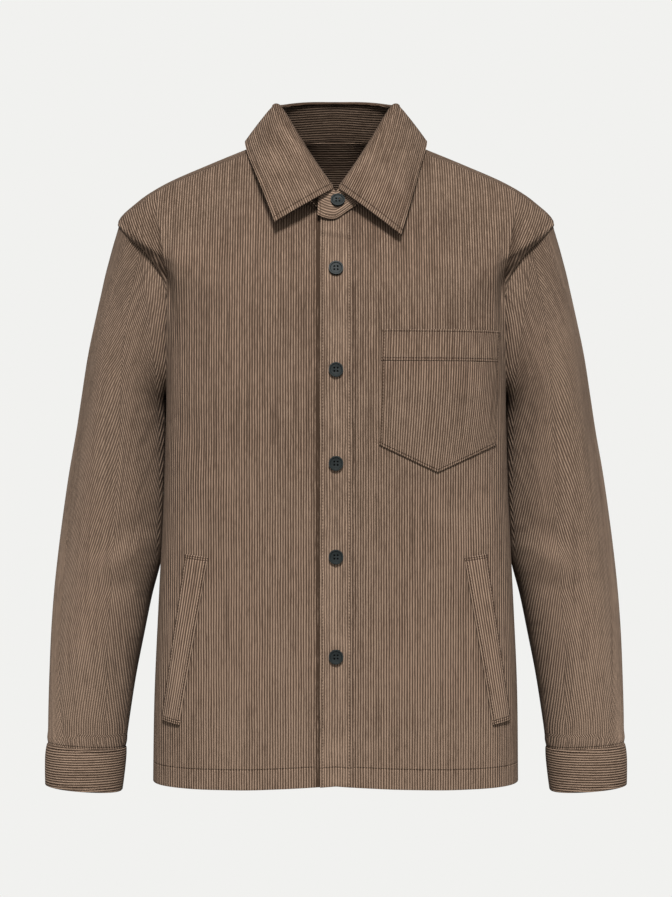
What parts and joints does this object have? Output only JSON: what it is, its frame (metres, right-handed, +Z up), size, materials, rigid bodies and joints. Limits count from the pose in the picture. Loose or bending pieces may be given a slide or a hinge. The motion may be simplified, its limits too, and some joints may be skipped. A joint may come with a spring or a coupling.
{
  "type": "corduroy jacket",
  "caption": "Button-through corduroy overshirt jacket with shirt collar, patch chest pocket, welt hand pockets and cuffs, hollow as worn.",
  "frame": {"origin": "on the centre line at the base of the neck, level with the shoulder seams at the neck, where the wearer's shoulders hold the jacket up", "axes": "+Z up along the wearer's body, -Y out of the front, +X towards the wearer's left"},
  "size_m": [0.661, 0.2664, 0.7936],
  "materials": {
    "body_corduroy": "corduroy, upright wales, soft nap",
    "sleeve_corduroy": "corduroy, wales along the sleeve, soft nap",
    "trim_corduroy": "corduroy, soft nap, topstitched",
    "collar_corduroy": "corduroy, soft nap, topstitched",
    "button": "dark horn-like resin, satin"
  },
  "bodies": {
    "root": {"front_left": "body_corduroy", "front_right": "body_corduroy", "back": "body_corduroy", "yoke": "body_corduroy", "sleeve_left": "sleeve_corduroy", "sleeve_right": "sleeve_corduroy", "cuff_left": "trim_corduroy", "cuff_right": "trim_corduroy", "collar_stand": "collar_corduroy", "collar_leaf": "collar_corduroy", "placket": "trim_corduroy", "chest_pocket": "trim_corduroy", "chest_pocket_band": "trim_corduroy", "welt_left": "trim_corduroy", "welt_right": "trim_corduroy", "button_1": "button", "button_2": "button", "button_3": "button", "button_4": "button", "button_5": "button", "button_6": "button"}
  },
  "joints": []
}
